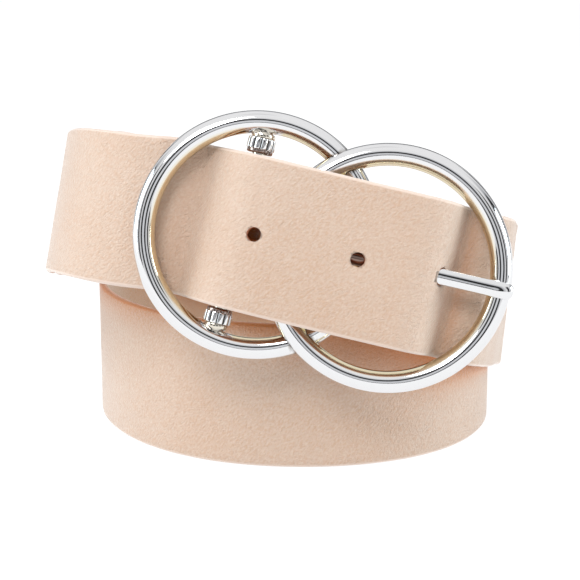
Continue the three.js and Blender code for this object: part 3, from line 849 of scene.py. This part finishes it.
# The grain's patterns: repeats in a metre, the angle and stretch they are drawn out by
PEBBLES = 2000
PORES = 2600
LINES = 900
MOTTLES = 1500
CLOUDS = 38
PATCHES = 45
HAZE = 900
RIPPLES = 140
GRAIN_SLANT = (128, 1.7)
LINE_SLANT = (132, 2.6)
LINE_SHARPNESS = 11
PEBBLE_MEAN = 0.37
PORE_MEAN = 0.45

# Which values of a pattern count, and how much of it goes into the colour
PATCH_RANGE = (0.42, 0.62)
PATCH_SHARE = 0.45
HOLLOW_RANGE = (0.28, 0.62)
HOLLOW_SHARE = 0.4
MOTTLE_RANGE = (0.46, 0.64)
MOTTLE_SHARE = 0.5
WRINKLE_SHARE = 0.35
CREASE_SHARE = 0.3
FOLD_RANGE = (0.15, 0.3)

# Heights and reach in metres
WRINKLE_HEIGHT = 0.00011
PEBBLE_HEIGHT = 0.0002
PORE_HEIGHT = 0.00013
FIBRE_HEIGHT = 0.0002
PLATING_HEIGHT = 0.0001
FOLD_REACH = 0.035


def nodes_of(name):
    material = bpy.data.materials.new(name)
    material.use_nodes = True
    tree = material.node_tree
    shader = tree.nodes["Principled BSDF"]
    return material, tree, shader


def attribute(tree, name):
    node = tree.nodes.new("ShaderNodeAttribute")
    node.attribute_name = name
    return node.outputs["Fac"]


def maths(tree, operation, a, b=None, c=None, clamp=False):
    node = tree.nodes.new("ShaderNodeMath")
    node.operation = operation
    node.use_clamp = clamp
    for socket, value in zip(node.inputs, (a, b, c)):
        if value is None:
            continue
        if isinstance(value, (int, float)):
            socket.default_value = value
        else:
            tree.links.new(value, socket)
    return node.outputs[0]


def ramp(tree, value, stops):
    node = tree.nodes.new("ShaderNodeValToRGB")
    elements = node.color_ramp.elements
    while len(elements) < len(stops):
        elements.new(0.5)
    for element, (position, colour) in zip(elements, stops):
        element.position = position
        element.color = (*colour, 1)
    tree.links.new(value, node.inputs[0])
    return node.outputs[0]


def blend(tree, share, a, b):
    node = tree.nodes.new("ShaderNodeMix")
    node.data_type = "RGBA"
    sockets = (node.inputs["Factor"], node.inputs[6], node.inputs[7])
    for socket, value in zip(sockets, (share, a, b)):
        if isinstance(value, (int, float)):
            socket.default_value = value
        elif isinstance(value, tuple):
            socket.default_value = (*value, 1)
        else:
            tree.links.new(value, socket)
    return node.outputs[2]


def noise(tree, vector, scale, detail=3.0, roughness=0.5):
    node = tree.nodes.new("ShaderNodeTexNoise")
    node.inputs["Scale"].default_value = scale
    node.inputs["Detail"].default_value = detail
    node.inputs["Roughness"].default_value = roughness
    tree.links.new(vector, node.inputs["Vector"])
    return node.outputs["Fac"]


def cells(tree, vector, scale, feature="F1"):
    node = tree.nodes.new("ShaderNodeTexVoronoi")
    node.feature = feature
    node.inputs["Scale"].default_value = scale
    tree.links.new(vector, node.inputs["Vector"])
    return node.outputs["Distance"]


def bump(tree, height, distance, strength, normal=None):
    node = tree.nodes.new("ShaderNodeBump")
    node.inputs["Distance"].default_value = distance
    node.inputs["Strength"].default_value = strength
    tree.links.new(height, node.inputs["Height"])
    if normal is not None:
        tree.links.new(normal, node.inputs["Normal"])
    return node.outputs["Normal"]


def drawn_out(tree, vector, degrees, stretch):
    """The flat strap's coordinates for a pattern that is drawn out along a slanted direction."""
    node = tree.nodes.new("ShaderNodeMapping")
    node.vector_type = "TEXTURE"
    node.inputs["Rotation"].default_value = (0, 0, math.radians(degrees))
    node.inputs["Scale"].default_value = (stretch, 1, 1)
    tree.links.new(vector, node.inputs["Vector"])
    return node.outputs[0]


def shut_in(tree, distance):
    """How far the piece's own folds and turns shut a spot in, from 0 in the open."""
    node = tree.nodes.new("ShaderNodeAmbientOcclusion")
    node.samples = 8
    node.only_local = True
    node.inputs["Distance"].default_value = distance
    return maths(tree, "SUBTRACT", 1.0, node.outputs["AO"], clamp=True)


def spread(tree, value, low, high):
    """The value's place between low and high, from 0 to 1."""
    return ramp(tree, value, [(low, BLACK), (high, WHITE)])


def leather_material():
    material, tree, shader = nodes_of("leather_blush")
    edge = attribute(tree, "edge")
    inner = attribute(tree, "inner")
    crease = attribute(tree, "crease")
    flat = tree.nodes.new("ShaderNodeCombineXYZ")
    tree.links.new(attribute(tree, "along"), flat.inputs[0])
    tree.links.new(attribute(tree, "across"), flat.inputs[1])
    flat = flat.outputs[0]
    slanted = drawn_out(tree, flat, *GRAIN_SLANT)

    pebble = cells(tree, slanted, PEBBLES, "SMOOTH_F1")
    pores = cells(tree, flat, PORES)
    lines = noise(tree, drawn_out(tree, flat, *LINE_SLANT), LINES, 3, 0.6)
    lines = maths(tree, "ABSOLUTE", maths(tree, "SUBTRACT", lines, 0.5))
    lines = maths(tree, "SUBTRACT", 1.0, maths(tree, "MULTIPLY", lines, LINE_SHARPNESS), clamp=True)
    patches = spread(tree, noise(tree, flat, PATCHES, 2, 0.5), *PATCH_RANGE)
    drawn = maths(tree, "MAXIMUM", crease, maths(tree, "MULTIPLY", patches, PATCH_SHARE))
    wrinkles = maths(tree, "MULTIPLY", lines, drawn)
    clouds = noise(tree, flat, CLOUDS, 3, 0.5)
    mottle = noise(tree, slanted, MOTTLES, 3, 0.6)

    colour = ramp(tree, clouds, [(0.3, LEATHER_DEEP), (0.5, LEATHER), (0.72, LEATHER_PALE)])
    colour = blend(tree, 0.8, colour, LEATHER)
    hollows = maths(tree, "MULTIPLY", spread(tree, pebble, *HOLLOW_RANGE), HOLLOW_SHARE)
    colour = blend(tree, hollows, colour, LEATHER_DEEP)
    pale = maths(tree, "MULTIPLY", spread(tree, mottle, *MOTTLE_RANGE), MOTTLE_SHARE)
    colour = blend(tree, pale, colour, LEATHER_PALE)
    dark = maths(tree, "MULTIPLY", wrinkles, WRINKLE_SHARE)
    colour = blend(tree, dark, colour, LEATHER_DEEP)
    # Painted light: the leather is made paler along its bends, to lift the shade that falls in them
    bend_light = maths(tree, "MULTIPLY", crease, CREASE_SHARE)
    colour = blend(tree, bend_light, colour, LEATHER_PALE)
    colour = blend(tree, edge, colour, EDGE_PAINT)
    back = maths(tree, "GREATER_THAN", inner, 0.9)
    colour = blend(tree, back, colour, LINING)
    # Painted shade: where the strap's own folds and turns shut a spot in, its colour goes to a
    # deep, saturated brown
    shade = spread(tree, shut_in(tree, FOLD_REACH), *FOLD_RANGE)
    colour = blend(tree, shade, colour, LEATHER_SHADED)
    tree.links.new(colour, shader.inputs["Base Color"])

    rough = maths(tree, "MULTIPLY_ADD", mottle, 0.2, 0.4)
    tree.links.new(rough, shader.inputs["Roughness"])
    shader.inputs["Specular IOR Level"].default_value = 0.5
    shader.inputs["Sheen Weight"].default_value = 0.55
    shader.inputs["Sheen Roughness"].default_value = 0.4

    face = maths(tree, "SUBTRACT", 1.0, edge, clamp=True)
    normal = bump(tree, maths(tree, "MULTIPLY", wrinkles, -1.0), WRINKLE_HEIGHT, 0.8)
    pebble = maths(tree, "SUBTRACT", pebble, PEBBLE_MEAN)
    normal = bump(tree, maths(tree, "MULTIPLY", pebble, face), PEBBLE_HEIGHT, 1.0, normal)
    pores = maths(tree, "SUBTRACT", pores, PORE_MEAN)
    normal = bump(tree, maths(tree, "MULTIPLY", pores, face), PORE_HEIGHT, 0.8, normal)
    tree.links.new(normal, shader.inputs["Normal"])
    return material


def raw_leather_material():
    """The bare fibre inside the punched holes."""
    material, tree, shader = nodes_of("leather_cut")
    place = tree.nodes.new("ShaderNodeTexCoord").outputs["Object"]
    fibre = noise(tree, place, MOTTLES, 3, 0.6)
    colour = ramp(tree, fibre, [(0.35, RAW_DEEP), (0.65, RAW)])
    tree.links.new(colour, shader.inputs["Base Color"])
    shader.inputs["Roughness"].default_value = 0.75
    tree.links.new(bump(tree, fibre, FIBRE_HEIGHT, 0.8), shader.inputs["Normal"])
    return material


def chrome_material(name, colour, roughness, tints=()):
    """Plated metal; each tint paints a reflection or shade into the colour, and is an attribute,
    its range, the tint's strength and its colour.
    """
    material, tree, shader = nodes_of(name)
    place = tree.nodes.new("ShaderNodeTexCoord").outputs["Object"]
    shader.inputs["Metallic"].default_value = 1.0
    haze = noise(tree, place, HAZE, 3, 0.6)
    tint = blend(tree, maths(tree, "MULTIPLY", haze, 0.1), colour, tuple(c * 0.8 for c in colour))
    for layer, low, high, strength, shade in tints:
        share = maths(tree, "MULTIPLY", spread(tree, attribute(tree, layer), low, high), strength)
        tint = blend(tree, share, tint, shade)
    tree.links.new(tint, shader.inputs["Base Color"])
    rough = maths(tree, "MULTIPLY_ADD", haze, 0.05, roughness)
    tree.links.new(rough, shader.inputs["Roughness"])
    normal = bump(tree, noise(tree, place, RIPPLES, 2, 0.4), PLATING_HEIGHT, 0.1)
    tree.links.new(normal, shader.inputs["Normal"])
    return material


def dress(thing, materials, node):
    thing.data.materials.clear()
    for material in materials:
        thing.data.materials.append(material)
    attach(thing, "root")
    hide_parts(node)


leather = leather_material()
# Painted reflection: the rings' inner side is tinted golden brown for the leather it faces
bright = chrome_material("chrome_bright", CHROME, 0.045, [
    ("inward", 0.4, 0.72, 0.7, CHROME_LEATHER_REFLECTION), ("seam", 0, 1, 1, SEAM_SHADE),
])
small = chrome_material("chrome_small", CHROME_WARM, 0.07)
# Painted shade darkens the tongue where it runs under the strap
covered = chrome_material("chrome_tongue", CHROME, 0.06, [("covered", 0, 0.4, 0.9, TONGUE_SHADE_UNDER_STRAP)])
# Painted reflection: the smooth flange is tinted dark brown for the leather beside it
fluted = chrome_material("chrome_fluted", CHROME_FLUTED, 0.07, [
    ("groove", 0.25, 0.7, 0.93, GROOVE_SHADE), ("flange", 0, 1, 0.8, FLANGE_REFLECTION),
])

strap = build_strap()
for centre in hole_stations():
    punch = cylinder(
        "punch", way.place[centre], way.out[centre], HOLE_DIAMETER / 2, STRAP_THICKNESS * 3,
        BORE_SIDES,
    )
    boolean(strap, punch, "DIFFERENCE")
slot_length = max(EYE_WIDTH, TONGUE_WIDTH) + 4 * METAL_GAP
slot = cylinder("slot", BAR_CENTRE, AXIS_V, SLOT_RADIUS, slot_length, ROD_SIDES)
boolean(strap, slot, "DIFFERENCE")
passage = tube_with_caps("passage", tongue_rings(METAL_GAP, *PASSAGE_POWERS))
boolean(strap, passage, "DIFFERENCE")
sharpen(strap, 50)
dress(strap, [leather, raw_leather_material()], "strap")
raw_walls(strap)

dress(build_rings(), [bright], "double_ring")
dress(build_bar(), [small], "bar")
dress(build_collar("collar_upper_chrome", 1), [fluted], "collar_upper")
dress(build_collar("collar_lower_chrome", -1), [fluted], "collar_lower")
dress(build_tongue(), [covered], "tongue")


# Floor, light and camera
FLOOR_GLOW = 0.86
FLOOR_GREY = (0.2, 0.2, 0.2)
FLOOR_SIZE = 8
COOL = (0.84, 0.95, 1.0)
LIGHT_TARGET = (0, 0, 0.05)

# name, place, width, height, watts, colour
LIGHTS = [
    ("key", (-0.4, -0.85, 1.0), 0.6, 0.5, 8.2, WHITE),
    ("left", (-1.25, -0.15, 0.4), 0.8, 0.8, 9.5, COOL),
    ("right", (1.25, -0.15, 0.35), 0.6, 0.6, 12, COOL),
]

PORT_HEIGHT = math.radians(12)
TENT_WOBBLE = 0.16
POLE_WIDTH = 0.2
POLE_DARK = (0.03, 0.03, 0.035)

# The tent's colour by the share of a quarter turn away from a port's middle
TENT = [
    (0.0, (0.85, 0.86, 0.88)), (0.1, (0.6, 0.61, 0.63)), (0.12, (0.02, 0.02, 0.02)),
    (0.24, (0.02, 0.02, 0.02)), (0.27, (0.5, 0.51, 0.53)), (0.4, (0.95, 0.95, 0.95)),
    (0.75, (1.0, 1.0, 1.0)), (0.9, (0.7, 0.7, 0.71)),
]

# The camera as fitted to the photograph, lengths in millimetres
PICTURE_PIXELS = 580
FOCAL_PIXELS = 1600
SENSOR_WIDTH = 36
ELEVATION = math.radians(13.5)
DISTANCE = 540.4
AIM_OFFSET = np.array([-1.0, 0.0, 40.0])


def aim(thing, target):
    direction = Vector(target) - thing.location
    thing.rotation_euler = direction.to_track_quat("-Z", "Y").to_euler()


def floor_material():
    material, _, shader = nodes_of("floor_white")
    shader.inputs["Base Color"].default_value = (*FLOOR_GREY, 1)
    shader.inputs["Roughness"].default_value = 0.9
    shader.inputs["Specular IOR Level"].default_value = 0
    shader.inputs["Emission Color"].default_value = (*WHITE, 1)
    shader.inputs["Emission Strength"].default_value = FLOOR_GLOW
    return material


def floor():
    bpy.ops.mesh.primitive_plane_add(size=FLOOR_SIZE, location=(0, 0, 0))
    plane = bpy.context.object
    plane.name = "floor"
    plane.data.materials.append(floor_material())


def area_light(name, place, width, height, watts, colour):
    data = bpy.data.lights.new(name, "AREA")
    data.shape = "RECTANGLE"
    data.size = width
    data.size_y = height
    data.energy = watts
    data.color = colour
    lamp = bpy.data.objects.new(name, data)
    lamp.location = place
    bpy.context.scene.collection.objects.link(lamp)
    aim(lamp, LIGHT_TARGET)


def studio_world():
    """A white tent with a dark-rimmed round port in each wall and a dark pole at each corner."""
    world = bpy.data.worlds.new("studio")
    world.use_nodes = True
    tree = world.node_tree
    background = tree.nodes["Background"]
    direction = tree.nodes.new("ShaderNodeTexCoord").outputs["Generated"]
    parts = tree.nodes.new("ShaderNodeSeparateXYZ")
    tree.links.new(direction, parts.inputs[0])
    side = maths(tree, "ABSOLUTE", parts.outputs[0])
    front = maths(tree, "ABSOLUTE", parts.outputs[1])
    up = parts.outputs[2]
    wobble = maths(tree, "SUBTRACT", noise(tree, direction, 2.3, 2), 0.5)
    wobble = maths(tree, "MULTIPLY", wobble, TENT_WOBBLE)

    wall = maths(tree, "MULTIPLY", maths(tree, "MAXIMUM", side, front), math.cos(PORT_HEIGHT))
    lift = maths(tree, "MULTIPLY", up, math.sin(PORT_HEIGHT))
    off_port = maths(tree, "ARCCOSINE", maths(tree, "MINIMUM", maths(tree, "ADD", wall, lift), 1.0))
    off_port = maths(tree, "DIVIDE", maths(tree, "ADD", off_port, wobble), math.pi / 2)
    tent = ramp(tree, off_port, TENT)

    corner = maths(tree, "ABSOLUTE", maths(tree, "SUBTRACT", side, front))
    corner = maths(tree, "ABSOLUTE", maths(tree, "ADD", corner, wobble))
    corner = maths(tree, "DIVIDE", corner, POLE_WIDTH)
    pole = ramp(tree, corner, [(0.7, WHITE), (1.0, BLACK)])
    low = ramp(tree, maths(tree, "ABSOLUTE", up), [(0.5, WHITE), (0.62, BLACK)])
    tent = blend(tree, maths(tree, "MULTIPLY", pole, low), tent, POLE_DARK)
    seen = tree.nodes.new("ShaderNodeLightPath").outputs["Is Camera Ray"]
    tree.links.new(blend(tree, seen, tent, WHITE), background.inputs["Color"])
    background.inputs["Strength"].default_value = 1.0
    bpy.context.scene.world = world


floor()
for row in LIGHTS:
    area_light(*row)
studio_world()
bpy.context.scene.view_settings.view_transform = "Standard"

camera_data = bpy.data.cameras.new("camera")
camera_data.sensor_width = SENSOR_WIDTH
camera_data.lens = FOCAL_PIXELS * SENSOR_WIDTH / PICTURE_PIXELS
camera = bpy.data.objects.new("camera", camera_data)
bpy.context.scene.collection.objects.link(camera)
target = COIL_AXIS + AIM_OFFSET
camera.location = metres(target + DISTANCE * np.array([
    0, -math.cos(ELEVATION), math.sin(ELEVATION),
]))
aim(camera, metres(target))
bpy.context.scene.camera = camera
